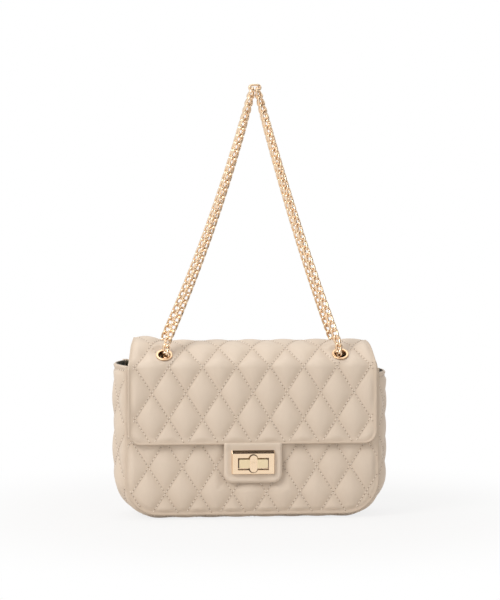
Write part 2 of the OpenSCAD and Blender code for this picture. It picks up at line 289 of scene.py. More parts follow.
def once(store, name):
    """A decorator: the function makes the named entry of one of the file's stores, and only once."""
    def keeper(make):
        return lambda: getattr(bpy.data, store).get(name) or make(name)
    return keeper


def feed(tree, socket, value):
    """Sets a socket to a number or a colour, or links it to another socket's value."""
    if isinstance(value, (int, float)):
        socket.default_value = value
    elif isinstance(value, tuple):
        socket.default_value = (*value, 1)
    else:
        tree.links.new(value, socket)


def math_node(tree, operation, *values):
    """The output of a Math node whose inputs are sockets or numbers."""
    node = tree.nodes.new("ShaderNodeMath")
    node.operation = operation
    for socket, value in zip(node.inputs, values):
        feed(tree, socket, value)
    return node.outputs[0]


def times(tree, *values):
    """The product of two values."""
    return math_node(tree, "MULTIPLY", *values)


def plus(tree, *values):
    """The sum of two values."""
    return math_node(tree, "ADD", *values)


def less(tree, *values):
    """The first value less the second."""
    return math_node(tree, "SUBTRACT", *values)


def shade(colour, *scales):
    """A colour scaled as a whole or channel by channel, up to full light."""
    return tuple(min(1, c * s) for c, s in zip(colour, scales * (3 // len(scales))))


def mix_colour(tree, share, first, second):
    """A colour that goes from first to second as share goes from 0 to 1."""
    node = tree.nodes.new("ShaderNodeMix")
    node.data_type = "RGBA"
    for place, value in ((0, share), (6, first), (7, second)):
        feed(tree, node.inputs[place], value)
    return node.outputs[2]


def object_place(tree):
    """The place on the object in its own coordinates."""
    return tree.nodes.new("ShaderNodeTexCoord").outputs["Object"]


def noise_node(tree, scale, detail, roughness=0.5):
    """The value of a noise texture over the object."""
    node = tree.nodes.new("ShaderNodeTexNoise")
    values = {"Vector": object_place(tree), "Scale": scale, "Detail": detail, "Roughness": roughness}
    for name, value in values.items():
        feed(tree, node.inputs[name], value)
    return node.outputs[0]


def new_group(name, inputs, outputs):
    """An empty shader group of numbers, with the sockets that it takes and those that it gives."""
    tree = bpy.data.node_groups.new(name, "ShaderNodeTree")
    for socket, value in inputs.items():
        made = tree.interface.new_socket(name=socket, in_out="INPUT", socket_type="NodeSocketFloat")
        made.default_value = value
    for socket in outputs:
        tree.interface.new_socket(name=socket, in_out="OUTPUT", socket_type="NodeSocketFloat")
    return tree, tree.nodes.new("NodeGroupInput").outputs, tree.nodes.new("NodeGroupOutput").inputs


@once("node_groups", "fine_grain")
def grain_group(name):
    """Fine pebbled grain: its height and a mask of its furrows."""
    tree, taken, given = new_group(name, {"Scale": 900.0, "Softness": 0.5}, ("Height", "Furrows"))
    cells = tree.nodes.new("ShaderNodeTexVoronoi")
    cells.feature = "DISTANCE_TO_EDGE"
    feed(tree, cells.inputs["Vector"], object_place(tree))
    feed(tree, cells.inputs["Scale"], taken["Scale"])
    edge = math_node(tree, "MINIMUM", times(tree, cells.outputs["Distance"], 3.5), 1.0)
    fine = noise_node(tree, times(tree, taken["Scale"], 0.6), 3)
    sharp = times(tree, edge, less(tree, 1.0, taken["Softness"]))
    feed(tree, given["Height"], plus(tree, sharp, times(tree, fine, taken["Softness"])))
    feed(tree, given["Furrows"], less(tree, 1.0, edge))
    return tree


@once("node_groups", "handling")
def handling_group(name):
    """Slow unevenness from handling: a mask for colour and one for gloss."""
    tree, taken, given = new_group(name, {"Size": 18.0, "Strength": 1.0}, ("Shade", "Gloss"))
    slow = noise_node(tree, taken["Size"], 4)
    quick = noise_node(tree, times(tree, taken["Size"], 7.0), 3)
    for value, mask in ((slow, "Shade"), (quick, "Gloss")):
        swing = times(tree, less(tree, value, 0.5), taken["Strength"])
        feed(tree, given[mask], plus(tree, swing, 0.5))
    return tree


@once("node_groups", "plain_weave")
def weave_group(name):
    """A plain weave: its height and a mask of the gaps between its threads."""
    tree, taken, given = new_group(name, {"Threads": 2600.0}, ("Height", "Gaps"))
    split = tree.nodes.new("ShaderNodeSeparateXYZ")
    feed(tree, split.inputs[0], object_place(tree))
    across = plus(tree, split.outputs[0], split.outputs[1])
    warp = math_node(tree, "SINE", times(tree, across, taken["Threads"]))
    weft = math_node(tree, "SINE", times(tree, split.outputs[2], taken["Threads"]))
    height = math_node(tree, "ABSOLUTE", times(tree, warp, weft))
    feed(tree, given["Height"], height)
    feed(tree, given["Gaps"], less(tree, 1.0, height))
    return tree


def new_material(name, **values):
    """A material, its tree and the inputs of its Principled shader, set by their names without spaces."""
    material = bpy.data.materials.new(name)
    material.use_nodes = True
    inputs = material.node_tree.nodes["Principled BSDF"].inputs
    for socket in inputs:
        key = socket.name.replace(" ", "")
        if key in values:
            feed(material.node_tree, socket, values[key])
    return material, material.node_tree, inputs


def add_group(tree, group, **values):
    """The outputs of a shader group placed with its inputs set."""
    node = tree.nodes.new("ShaderNodeGroup")
    node.node_tree = group
    for name, value in values.items():
        feed(tree, node.inputs[name], value)
    return node.outputs


def add_bump(tree, inputs, height, distance, strength):
    """A bump of the given height in metres that feeds a shader's normal."""
    bump = tree.nodes.new("ShaderNodeBump")
    for name, value in (("Distance", distance), ("Strength", strength), ("Height", height)):
        feed(tree, bump.inputs[name], value)
    feed(tree, inputs["Normal"], bump.outputs["Normal"])


@once("materials", "padded_leather")
def leather_material(name):
    """Soft matt leather: fine grain with darker furrows and random paler patches from handling, with painted
    shade that darkens it where the puff attribute is low: in the quilting's seams, at rolled edges and round
    the grommets.
    """
    colour = colour_of("leather")
    material, tree, inputs = new_material(name, Roughness=0.5, SpecularIORLevel=0.38)
    grain = add_group(tree, grain_group(), Scale=1150.0, Softness=0.45)
    wear = add_group(tree, handling_group(), Size=16.0, Strength=1.0)
    puff = tree.nodes.new("ShaderNodeAttribute")
    puff.attribute_name = "puff"
    deep, pale = shade(colour, 0.80, 0.76, 0.71), shade(colour, 1.03, 1.03, 1.04)
    # Painted shade: the colour goes to deep where the puff attribute is low, in the quilting's seams, at
    # rolled edges and round the grommets
    base = mix_colour(tree, math_node(tree, "POWER", puff.outputs["Fac"], 0.35), deep, colour)
    base = mix_colour(tree, times(tree, wear["Shade"], 0.7), base, pale)
    feed(tree, inputs["Base Color"], mix_colour(tree, times(tree, grain["Furrows"], 0.10), base, deep))
    feed(tree, inputs["Roughness"], plus(tree, 0.42, times(tree, wear["Gloss"], 0.22)))
    add_bump(tree, inputs, grain["Height"], 0.00006, 0.55)
    return material


def metal_material(name, colour, roughness, brushed=0.0):
    """Polished plating with faint handling marks."""
    material, tree, inputs = new_material(name, Roughness=roughness, Metallic=1.0)
    wear = add_group(tree, handling_group(), Size=90.0, Strength=1.0)
    worn = shade(colour, 0.90, 0.84, 0.76)
    feed(tree, inputs["Base Color"], mix_colour(tree, times(tree, wear["Shade"], 0.5), colour, worn))
    marks = times(tree, wear["Gloss"], 0.12 + brushed)
    feed(tree, inputs["Roughness"], plus(tree, roughness - 0.04, marks))
    add_bump(tree, inputs, noise_node(tree, 700.0, 3), 0.00001, 0.35)
    return material


@once("materials", "light_gold")
def gold_material(name):
    return metal_material(name, colour_of("gold"), 0.16)


@once("materials", "soft_gold")
def soft_gold_material(name):
    return metal_material(name, colour_of("soft_gold"), 0.3, 0.05)


@once("materials", "pale_gold")
def pale_gold_material(name):
    return metal_material(name, colour_of("pale_gold"), 0.24, 0.1)


@once("materials", "lining_cloth")
def lining_material(name):
    """Dark closely woven lining."""
    colour = colour_of("lining")
    material, tree, inputs = new_material(name, Roughness=0.75, SheenWeight=0.25, SpecularIORLevel=0.3)
    weave = add_group(tree, weave_group(), Threads=5200.0)
    wear = add_group(tree, handling_group(), Size=25.0, Strength=1.0)
    base = mix_colour(tree, times(tree, weave["Gaps"], 0.6), colour, shade(colour, 0.55))
    base = mix_colour(tree, times(tree, wear["Shade"], 0.4), base, shade(colour, 1.35))
    feed(tree, inputs["Base Color"], base)
    add_bump(tree, inputs, weave["Height"], 0.00008, 0.5)
    return material


def flecked_material(name, colour, roughness, flecks, dark, light, relief=0.0):
    """A plain material that goes from a darker to a lighter shade over flecks: scale, detail, roughness."""
    material, tree, inputs = new_material(name, Roughness=roughness)
    share = noise_node(tree, *flecks)
    feed(tree, inputs["Base Color"], mix_colour(tree, share, shade(colour, dark), shade(colour, light)))
    if relief:
        add_bump(tree, inputs, share, relief, 0.5)
    return material


@once("materials", "sewing_thread")
def thread_material(name):
    """Twisted sewing thread."""
    return flecked_material(name, colour_of("thread"), 0.65, (4200.0, 2, 0.5), 0.82, 1.1, 0.00005)


@once("materials", "needle_hole")
def hole_material(name):
    """The shade at a needle hole."""
    return flecked_material(name, colour_of("hole"), 0.85, (260.0, 2, 0.5), 1, 1.7)


@once("materials", "pressed_board")
def board_material(name):
    """Pressed board with flecks."""
    return flecked_material(name, colour_of("board"), 0.85, (900.0, 4, 0.7), 0.6, 1.25, 0.0001)


# Meshes


def mesh_object(name, points, faces, material, attributes=None):
    """A smooth mesh from points in millimetres, with point attributes where given."""
    mesh = bpy.data.meshes.new(name)
    mesh.from_pydata([tuple(c * MM for c in p) for p in points], [], faces)
    mesh.update()
    for key, values in (attributes or {}).items():
        mesh.attributes.new(key, "FLOAT", "POINT").data.foreach_set("value", values)
    mesh.materials.append(material)
    return placed_mesh(name, mesh)


def placed_mesh(name, mesh):
    """An object in the scene that shows a mesh smoothly."""
    mesh.polygons.foreach_set("use_smooth", [True] * len(mesh.polygons))
    made = bpy.data.objects.new(name, mesh)
    bpy.context.scene.collection.objects.link(made)
    return made


def close_up(made):
    """Takes the loose points out of a closed mesh and turns its faces outwards."""
    shape = bmesh.new()
    shape.from_mesh(made.data)
    bmesh.ops.delete(shape, geom=[v for v in shape.verts if not v.link_faces], context="VERTS")
    bmesh.ops.recalc_face_normals(shape, faces=shape.faces)
    shape.to_mesh(made.data)
    shape.free()


def pad_shell(name, outer, inner, puffs, material, open_cells=()):
    """A closed shell between two grids of points, walled at its rim and round its open cells."""
    rows, columns = len(outer), len(outer[0])
    count = rows * columns
    points = [p for row in outer + inner for p in row]
    faces = []

    def kept(i, j):
        return 0 <= i < rows - 1 and 0 <= j < columns - 1 and (i, j) not in open_cells

    for i in range(rows - 1):
        for j in range(columns - 1):
            if not kept(i, j):
                continue
            a, b = i * columns + j, i * columns + j + 1
            c, d = b + columns, a + columns
            faces.append((a, b, c, d))
            faces.append((d + count, c + count, b + count, a + count))
            sides = (((i - 1, j), a, b), ((i, j + 1), b, c), ((i + 1, j), c, d), ((i, j - 1), d, a))
            for beside, p, q in sides:
                if not kept(*beside):
                    faces.append((q, p, p + count, q + count))
    # The puff attribute sets the leather's painted shade, low in the seams and at the edges; the inner face
    # takes 0.5 throughout
    values = [v for row in puffs for v in row]
    made = mesh_object(name, points, faces, material, {"puff": values + [0.5] * len(values)})
    close_up(made)
    return made


def cells_where(grid, test):
    """The cells of a grid whose middles pass a test."""
    return {(i, j) for i in range(len(grid) - 1) for j in range(len(grid[0]) - 1)
            if test((grid[i][j] + grid[i + 1][j + 1]) / 2)}


def rolled(edge, reach):
    """Drop of a rounded border at edge from its rim, from 1 at the rim to 0 at reach."""
    return 1 - math.sqrt(1 - (1 - min(max(edge, 0) / reach, 1)) ** 2)


def diamond():
    """Width and height of a quilted diamond."""
    quilting = bpy.context.scene.bag_quilting
    return quilting.diamond_width / MM, quilting.diamond_height / MM


def pillow(a, b, cross_b):
    """Share of the full puff at a across and b up: 0 on the stitch lines and 1 in a diamond's middle."""
    wide, tall = diamond()
    rise = 1
    for way in (1, -1):
        t = a / wide + way * (b - cross_b) / tall
        t = max(abs(t - round(t)) * 2 - SEAM_SHARE, 0) / (1 - SEAM_SHARE)
        rise *= math.sin(min(1, math.hypot(t, 0.025)) * math.pi / 2)
    return rise ** 0.6


def quilt_lines(cross_b, inside, shift=0):
    """Points at every stitch of the quilting where inside(a, b) holds, each with its line's direction."""
    wide, tall = diamond()
    span = math.hypot(wide, tall)
    per_side = round(span / 2 / (bpy.context.scene.bag_quilting.stitch_step / MM))
    found = []
    for way in (1, -1):
        for line in range(-24, 25):
            for n in range(-60 * per_side // 2, 60 * per_side // 2):
                share = (n + 0.5) / per_side / 2
                a = (line / 2 + share) * wide + shift
                b = cross_b + way * (line / 2 - share) * tall
                if inside(a, b):
                    found.append((a, b, wide / span, -way * tall / span))
    return found


def corner_distance(x, z, width, low, radius):
    """Distance in from the side and lower edges of a plate with round lower corners."""
    across, down = abs(x) - (width / 2 - radius), low + radius - z
    if across > 0 and down > 0:
        return radius - math.hypot(across, down)
    return radius - max(across, down)


def half_width(z, width, low, radius):
    """Half the width at height z of a plate with round lower corners."""
    drop = max(0, low + radius - z)
    return width / 2 - radius + math.sqrt(max(0, radius * radius - drop * drop))


def plate_heights(low, high, radius, step):
    """Heights of the rows of a plate with round lower corners, close together where its corners run flat."""
    turns = max(6, round(radius * math.pi / 2 / step))
    rows = [low + radius * (1 - math.cos(math.pi / 2 * i / turns)) for i in range(turns)]
    return rows + spread(low + radius, high, step)


# Stitches


def tube_faces(rings, sides, closed=False):
    """The faces between rings of points, and from the last ring to the first of a closed tube."""
    faces = []
    for i in range(rings if closed else rings - 1):
        for k in range(sides):
            n, m = (i + 1) % rings, (k + 1) % sides
            faces.append((i * sides + k, i * sides + m, n * sides + m, n * sides + k))
    return faces


def bead_mesh(run, thick):
    """A short thread lying along X, pulled down at its ends."""
    rings = ((-0.5, 0.15, -0.35), (-0.34, 0.85, 0.0), (0.0, 1.0, 0.12), (0.34, 0.85, 0.0), (0.5, 0.15, -0.35))
    sides = 6
    points = []
    for along, girth, lift in rings:
        for k in range(sides):
            turn = 2 * math.pi * k / sides
            points.append((along * run, math.cos(turn) * girth * thick / 2,
                           lift * thick + math.sin(turn) * girth * thick / 2))
    start = tuple(range(sides))
    end = tuple(range((len(rings) - 1) * sides, len(rings) * sides))
    return points, tube_faces(len(rings), sides) + [start, end[::-1]]


def dimple_mesh(radius):
    """A shallow dished hexagon, the mouth of a needle hole."""
    ring = [(math.cos(math.pi / 3 * k) * radius, math.sin(math.pi / 3 * k) * radius, 0) for k in range(6)]
    return ring + [(0, 0, -radius * 0.4)], [(k, (k + 1) % 6, 6) for k in range(6)]


def scatter_tree(name):
    """A tree that places a shape on each point, its X along the point's run and its Z along its upright."""
    tree = bpy.data.node_groups.new(name, "GeometryNodeTree")
    for socket, way, kind in (("Points", "INPUT", "Geometry"), ("Shape", "INPUT", "Object"),
                              ("Finish", "INPUT", "Material"), ("Placed", "OUTPUT", "Geometry")):
        tree.interface.new_socket(name=socket, in_out=way, socket_type="NodeSocket" + kind)
    taken, given = tree.nodes.new("NodeGroupInput"), tree.nodes.new("NodeGroupOutput")
    shape = tree.nodes.new("GeometryNodeObjectInfo")
    place = tree.nodes.new("GeometryNodeInstanceOnPoints")
    realize = tree.nodes.new("GeometryNodeRealizeInstances")
    finish = tree.nodes.new("GeometryNodeSetMaterial")
    turn = None
    for axis, key, pivot in (("X", "run", "AUTO"), ("Z", "upright", "X")):
        read = tree.nodes.new("GeometryNodeInputNamedAttribute")
        read.data_type = "FLOAT_VECTOR"
        read.inputs["Name"].default_value = key
        align = tree.nodes.new("FunctionNodeAlignRotationToVector")
        align.axis = axis
        align.pivot_axis = pivot
        tree.links.new(read.outputs["Attribute"], align.inputs["Vector"])
        if turn:
            tree.links.new(turn, align.inputs["Rotation"])
        turn = align.outputs["Rotation"]
    tree.links.new(turn, place.inputs["Rotation"])
    for source, output, target, socket in (
            (taken, "Points", place, "Points"), (taken, "Shape", shape, "Object"),
            (shape, "Geometry", place, "Instance"), (place, "Instances", realize, "Geometry"),
            (realize, "Geometry", finish, "Geometry"), (taken, "Finish", finish, "Material"),
            (finish, "Geometry", given, "Placed")):
        tree.links.new(source.outputs[output], target.inputs[socket])
    return tree


def scatter(name, places, points, faces, material):
    """A mesh with the shape of points and faces at each place, which is a point, a run and an upright."""
    tree = bpy.data.node_groups.get("placed_shapes") or scatter_tree("placed_shapes")
    shape = mesh_object(name + "_shape", points, faces, material)
    cloud = bpy.data.meshes.new(name)
    cloud.from_pydata([tuple(c * MM for c in p) for p, run, upright in places], [], [])
    for key, which in (("run", 1), ("upright", 2)):
        flat = [c for place in places for c in place[which]]
        cloud.attributes.new(key, "FLOAT_VECTOR", "POINT").data.foreach_set("vector", flat)
    holder = bpy.data.objects.new(name, cloud)
    bpy.context.scene.collection.objects.link(holder)
    modifier = holder.modifiers.new("placed", "NODES")
    modifier.node_group = tree
    values = {"Shape": shape, "Finish": material}
    for item in tree.interface.items_tree:
        if item.in_out == "INPUT" and item.name in values:
            modifier[item.identifier] = values[item.name]
    bpy.context.view_layer.update()
    seen = holder.evaluated_get(bpy.context.evaluated_depsgraph_get())
    mesh = bpy.data.meshes.new_from_object(seen)
    mesh.name = name
    holder.modifiers.remove(modifier)
    bpy.data.objects.remove(holder)
    bpy.data.objects.remove(shape)
    for key in ("run", "upright"):
        if mesh.attributes.get(key):
            mesh.attributes.remove(mesh.attributes[key])
    return placed_mesh(name, mesh)


def sew(name, surface, stitches):
    """The thread and the needle holes of stitches on a surface, as two pieces."""
    quilting = bpy.context.scene.bag_quilting
    step = quilting.stitch_step / MM / 2
    beads, holes = [], []
    for a, b, da, db in stitches:
        here, up = surface(a, b)[:2]
        there = surface(a + da * 0.5, b + db * 0.5)[0]
        run = (there - here).normalized()
        beads.append((here + up * STITCH_LIFT, run, up))
        mouth, mouth_up = surface(a + da * step, b + db * step)[:2]
        holes.append((mouth + mouth_up * NEEDLE_LIFT, run, mouth_up))
    bead = bead_mesh(quilting.stitch_length / MM, quilting.thread / MM)
    thread = scatter(name + "_thread", beads, *bead, thread_material())
    mouths = scatter(name + "_holes", holes, *dimple_mesh(NEEDLE_R), hole_material())
    return thread, mouths


# Surfaces of the pads


def puff_height():
    return bpy.context.scene.bag_quilting.puff / MM


def left_rise(x, z, start, end):
    """Rise of a panel's upper left corner to the gusset's rim, from start to end left of the middle."""
    return RIM_LEFT_RISE * smooth(z, RIM_RISE_FROM, RIM_Z) * smooth(-x, start, end)


def front_surface(x, z):
    """Outer face of the front panel, flat under the flap and tab and fuller where it shows."""
    edge = corner_distance(x, z, PANEL_W, SEAM_Z, PANEL_R)
    open_front = smooth(FLAP_LOW - 4 - z, 0, 16) * smooth(max(abs(x) - TAB_W / 2, TAB_LOW - z), 0, 9)
    proud = PANEL_PROUD * open_front * smooth(edge, 0, 26) + 0.2
    depth = puff_height() * (0.62 + 0.38 * open_front)
    share = pillow(x - PANEL_CROSS_X, z, PANEL_CROSS) * smooth(edge, 1.2, PANEL_ROLL_REACH)
    roll = PANEL_ROLL * rolled(edge, PANEL_ROLL_REACH)
    y = PANEL_Y - proud + depth * (1 - share) * smooth(edge, -2, 4) * 0.9 + roll
    z += left_rise(x, z, *FRONT_CORNER)
    return Vector((x, min(y, PANEL_Y + PANEL_T - PANEL_RIM_T), z)), Vector((0, -1, 0)), share


def back_surface(x, z):
    """Outer face of the back panel."""
    edge = corner_distance(x, z, PANEL_W, SEAM_Z, PANEL_R)
    share = pillow(x, z, BACK_CROSS) * smooth(edge, 1.2, PANEL_ROLL_REACH)
    roll = PANEL_ROLL * rolled(edge, PANEL_ROLL_REACH)
    swell = 0.6 * smooth(edge, 0, 30) * smooth(FOLD_Z - z, 0, 30)
    y = BACK_Y + 0.1 + swell - puff_height() * (1 - share) * 0.95 - roll
    z += left_rise(x, z, *BACK_CORNER)
    return Vector((x, max(y, BACK_Y - PANEL_T + PANEL_RIM_T), z)), Vector((0, 1, 0)), share


def crown_place(x, b):
    """Point and outward direction on the flap's even face, at b up its front and then over its crown."""
    run = b - FOLD_Z
    if run <= 0:
        return Vector((x, FLAP_Y, b)), Vector((0, -1, 0))
    if run < SHOULDER_RUN:
        centre, radius, turn = (-SHOULDER_Y, FOLD_Z), SHOULDER_R, math.pi - run / SHOULDER_R
    elif run < SHOULDER_RUN + DOME_RUN:
        centre, radius, turn = (0, DOME_Z), DOME_R, math.pi - DOME_FROM - (run - SHOULDER_RUN) / DOME_R
    else:
        centre, radius = (SHOULDER_Y, FOLD_Z), SHOULDER_R
        turn = DOME_FROM - (run - SHOULDER_RUN - DOME_RUN) / SHOULDER_R
    out = Vector((0, math.cos(turn), math.sin(turn)))
    return Vector((x, centre[0] + radius * out.y, centre[1] + radius * out.z)), out


def flap_half_width(b):
    """Half the flap's width at b, narrower over the crown and most so behind it."""
    if b <= FOLD_Z:
        return half_width(b, FLAP_W, FLAP_LOW, FLAP_R)
    z = crown_place(0, b)[0].z
    back = smooth(b, FOLD_Z + 14, FLAP_END - 22)
    return FLAP_W / 2 - CROWN_TAPER * ((z - FOLD_Z) / (CROWN_TOP - FOLD_Z)) ** 1.5 - BACK_TAPER * back


def flap_edge(x, b):
    """Distance in from the flap's free edges."""
    if b <= FOLD_Z:
        return corner_distance(x, b, FLAP_W, FLAP_LOW, FLAP_R)
    return flap_half_width(b) - abs(x)


def flap_place(x, b):
    """Point and outward direction on the closed flap's outer face, whose sides roll down beside the crown."""
    place, out = crown_place(x, b)
    over = smooth(b, FOLD_Z - 4, FOLD_Z + 12) * smooth(FLAP_END - b, -1, 12)
    return place - out * CROWN_ROLL * rolled(flap_edge(x, b), CROWN_EDGE) * over, out


def ways_from_grommets(point):
    """The way to a point from the axis of each grommet that opens to the point's side."""
    ways = []
    for side in (-1, 1):
        for row in (-1, 1):
            axis = Vector((0, row * math.cos(GROMMET_TILT), math.sin(GROMMET_TILT)))
            away = point - Vector((side * GROMMET_X, 0, DOME_Z))
            if away.dot(axis) > 0:
                ways.append(away - axis * away.dot(axis))
    return ways


def grommet_distance(point):
    """Distance from the nearest grommet's axis."""
    return min((way.length for way in ways_from_grommets(point)), default=math.inf)


def clear_of_grommets(point, reach):
    """The point moved straight out to reach from a grommet's axis, where it lies nearer."""
    for way in ways_from_grommets(point):
        if 0 < way.length < reach:
            return point + way.normalized() * (reach - way.length)
    return point


def flap_surface(x, b):
    """Outer face of the quilted flap, with a turned border and the pull of its grommets."""
    place, out = flap_place(x, b)
    edge = flap_edge(x, b)
    padded = smooth(edge, BORDER, 8.5)
    share = pillow(x, b, FLAP_CROSS) * padded
    near = smooth(grommet_distance(place), GROMMET_R + 0.6, GROMMET_R + 6.5)
    top = smooth(b, FOLD_Z + 12, FOLD_Z + 34) * smooth(FLAP_END - b, 12, 34)
    rise = -1.3 - 1.6 * padded * (1 - 0.9 * top) + puff_height() * share * (1 - 0.55 * top) + CROWN_RISE * top
    rise += CROWN_LEFT_RISE * top * smooth(-x, 78, 106)
    border = BORDER_RISE * math.sin(math.pi * min(edge, BORDER) / BORDER) if edge < BORDER else 0
    edge_drop = 0.5 * (1 - min(max(edge, 0) / 1.2, 1)) ** 2
    rise = rise + border - edge_drop
    rise = GROMMET_SEAT * (1 - near) + rise * near
    # Round a grommet the puff value goes to 0.6, which paints shade on the leather that the grommet pulls
    # down
    return place + out * rise, out, share * near + (1 - near) * 0.6


def gusset_place(depth, way, inset=0.0):
    """Point and outward direction on the gusset: depth from front to back, way round from the left rim."""
    s = max(-1, min(1, (depth - GUSSET_MIDDLE) / GUSSET_REACH))
    swell = GUSSET_SWELL * (1 - s * s)
    low = SEAM_Z * max(0, (abs(s) - BASE_FLAT) / (1 - BASE_FLAT)) ** 2
    radius = PANEL_R + swell
    half = PANEL_W / 2 + swell
    side = -1 if way < GUSSET_RUN / 2 else 1
    rim = RIM_Z + (RIM_LEFT_RISE if side < 0 else -RIM_RIGHT_DROP)
    way = way if side < 0 else GUSSET_RUN - way
    if way < SIDE_RUN:
        t = way / SIDE_RUN
        point, out = (half, rim + (low + radius - rim) * t), (1, 0)
    elif way < SIDE_RUN + CORNER_RUN:
        turn = (way - SIDE_RUN) / CORNER_RUN * math.pi / 2
        point = (half - radius + radius * math.cos(turn), low + radius - radius * math.sin(turn))
        out = (math.cos(turn), -math.sin(turn))
    else:
        t = (way - SIDE_RUN - CORNER_RUN) / BASE_RUN
        point, out = ((half - radius) * (1 - t), low), (0, -1)
    tilt = 2 * GUSSET_SWELL * s / GUSSET_REACH * abs(out[0])
    normal = Vector((side * out[0], tilt, out[1])).normalized()
    return Vector((side * point[0], depth, point[1])) - normal * inset, normal


def gusset_surface(depth, way):
    """Outer face of the quilted gusset strip, flat where it stands and turned over at its rims."""
    place, out = gusset_place(depth, way)
    edge = min(depth - GUSSET_FROM, GUSSET_TO - depth)
    rim = min(way, GUSSET_RUN - way)
    share = pillow(depth - GUSSET_MIDDLE, rim, SIDE_CROSS)
    share *= smooth(edge, 0.5, 7) * smooth(rim, 3.5, 9)
    under = smooth(-out.z, 0.2, 0.9)
    proud = 0.9 * (1 - under)
    drop = puff_height() * 0.85 * (1 - share) * (1 - 0.45 * under)
    border = 1.5 * math.sin(math.pi * min(rim, GUSSET_BORDER) / GUSSET_BORDER) if rim < GUSSET_BORDER else 0
    roll = 1.2 * (1 - min(edge / 4, 1)) ** 2
    rise = proud - drop * smooth(edge, -3, 3) + border - roll * 0.6
    point = place + out * max(rise, -2.3)
    point.z = max(point.z, 0.05)
    return point, out, share


def tab_surface(x, z):
    """Outer face of the tab: a soft raised border round a plain middle."""
    edge = corner_distance(x, z, TAB_W, TAB_LOW, TAB_R)
    border = 0.55 * smooth(edge, 0.2, 2.4) * (1 - smooth(edge, 3.2, 6.4))
    y = TAB_Y - border + 1.1 * (1 - min(edge / 2.4, 1)) ** 2
    y -= TAB_STEP * smooth(z, 66.5, 74.6) - 0.35 * smooth(z, 75, TAB_SEWN)
    # The puff value paints shade on the leather, at 0.75 on the tab's rim and 1 from 3 mm in
    return Vector((x, y, z)), Vector((0, -1, 0)), 0.75 + 0.25 * smooth(edge, 0, 3)


# Pieces of leather and cloth


def pad(name, rows, inner, test=None):
    """A leather shell over rows of a surface's points, directions and puff shares, open where a test holds.
    The puff shares set the leather's painted shade.
    """
    outer = [[point for point, out, puff in row] for row in rows]
    puffs = [[puff for point, out, puff in row] for row in rows]
    open_cells = cells_where(outer, test) if test else ()
    return pad_shell(name, outer, inner, puffs, leather_material(), open_cells)


def plate_pad(name, surface, plate, high, step, rear, test=None, mirror=False):
    """A leather plate of a width, low edge and corner radius up to high, between its surface and its rear."""
    width, low, radius = plate
    shares = spread(-1, 1, 2 * step / width)
    if mirror:
        shares.reverse()
    rows, inner = [], []
    for z in plate_heights(low, high, radius, step):
        reach = half_width(z, width, low, radius)
        row = [surface(u * reach, z) for u in shares]
        rows.append(row)
        inner.append([Vector((point.x, rear(z), point.z)) for point, out, puff in row])
    return pad(name, rows, inner, test)


def finish_pad(made, *nodes, fill=0.7):
    """Hides the CAD nodes that a padded leather piece is shown in place of."""
    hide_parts(*nodes)


def thin_sheet(name, grid, out, thick, material, open_cells=()):
    """A sheet of the given thickness behind a grid of points, out being its face's direction at each."""
    inner = [[p - n * thick for p, n in zip(row, normals)] for row, normals in zip(grid, out)]
    # Each point takes a puff of 0.5, which on a leather sheet paints part of the leather's shade evenly
    puffs = [[0.5] * len(row) for row in grid]
    return pad_shell(name, grid, inner, puffs, material, open_cells)


def declare_lining(nodes):
    """Hides the CAD nodes of a lining cloth."""
    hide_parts(*nodes)


def bend_over_fold(piece):
    """Bakes a flap piece's place into its mesh."""
    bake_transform(piece)


def ripple(point, size, seed):
    """A soft uneven swell of about one either way."""
    return noise.noise(Vector((point.x / size + seed, point.y / size, point.z / size)))


class BAG_OT_panels(bpy.types.Operator):
    """Makes the quilted front and back panels with their stitching"""

    bl_idname = "bag.panels"
    bl_label = "Panels"

    def execute(self, context):
        front = plate_pad("quilted_front", front_surface, PANEL, RIM_Z, 1.2, lambda z: PANEL_Y + PANEL_T)
        back = plate_pad("quilted_back", back_surface, PANEL, FOLD_Z - 0.15, 1.4, lambda z: BACK_Y - PANEL_T,
                         mirror=True)
        for made, node in ((front, "front_panel"), (back, "back_panel")):
            finish_pad(made, node)
            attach(made, "bag")
        for name, surface, cross, shift, top in (
                ("front", front_surface, PANEL_CROSS, PANEL_CROSS_X, RIM_Z - 3),
                ("back", back_surface, BACK_CROSS, 0, FOLD_Z - 2)):
            lines = quilt_lines(cross, lambda a, b: SEAM_Z < b < top and abs(a) < PANEL_W / 2
                                and corner_distance(a, b, *PANEL) > 3, shift)
            for piece in sew(name, surface, lines):
                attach(piece, "bag")
        return {"FINISHED"}


class BAG_OT_gusset(bpy.types.Operator):
    """Makes the quilted gusset strip that forms the sides and base"""

    bl_idname = "bag.gusset"
    bl_label = "Gusset"

    def execute(self, context):
        depths = spread(GUSSET_FROM, GUSSET_TO, GUSSET_STEP)
        ways = spread(0, GUSSET_RUN, GUSSET_STEP)
        rows = [[gusset_surface(depth, way) for depth in depths] for way in ways]
        inner = [[gusset_place(depth, way, GUSSET_T)[0] for depth in depths] for way in ways]
        made = pad("quilted_gusset", rows, inner)
        finish_pad(made, "gusset_strip")
        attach(made, "bag")
        lines = []
        for a, b, da, db in quilt_lines(
                SIDE_CROSS, lambda a, b: abs(a) < STITCHED_DEPTH and 9 < b < GUSSET_RUN / 2):
            lines.append((a, b, da, db))
            lines.append((a, GUSSET_RUN - b, da, -db))
        rims = (RIM_STITCHES, GUSSET_RUN - RIM_STITCHES)
        lines += [(a, b, 1, 0) for a in spread(-STITCHED_DEPTH, STITCHED_DEPTH, 3.6) for b in rims]
        for piece in sew("gusset", lambda a, b: gusset_surface(a + GUSSET_MIDDLE, b), lines):
            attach(piece, "bag")
        return {"FINISHED"}


def flap_grid(step):
    """Widths as shares and ways along the flap for its grids."""
    ways = plate_heights(FLAP_LOW, FOLD_Z, FLAP_R, step)[:-1] + spread(FOLD_Z, FLAP_END - 0.15, step)
    return spread(-1, 1, 2 * step / FLAP_W), ways


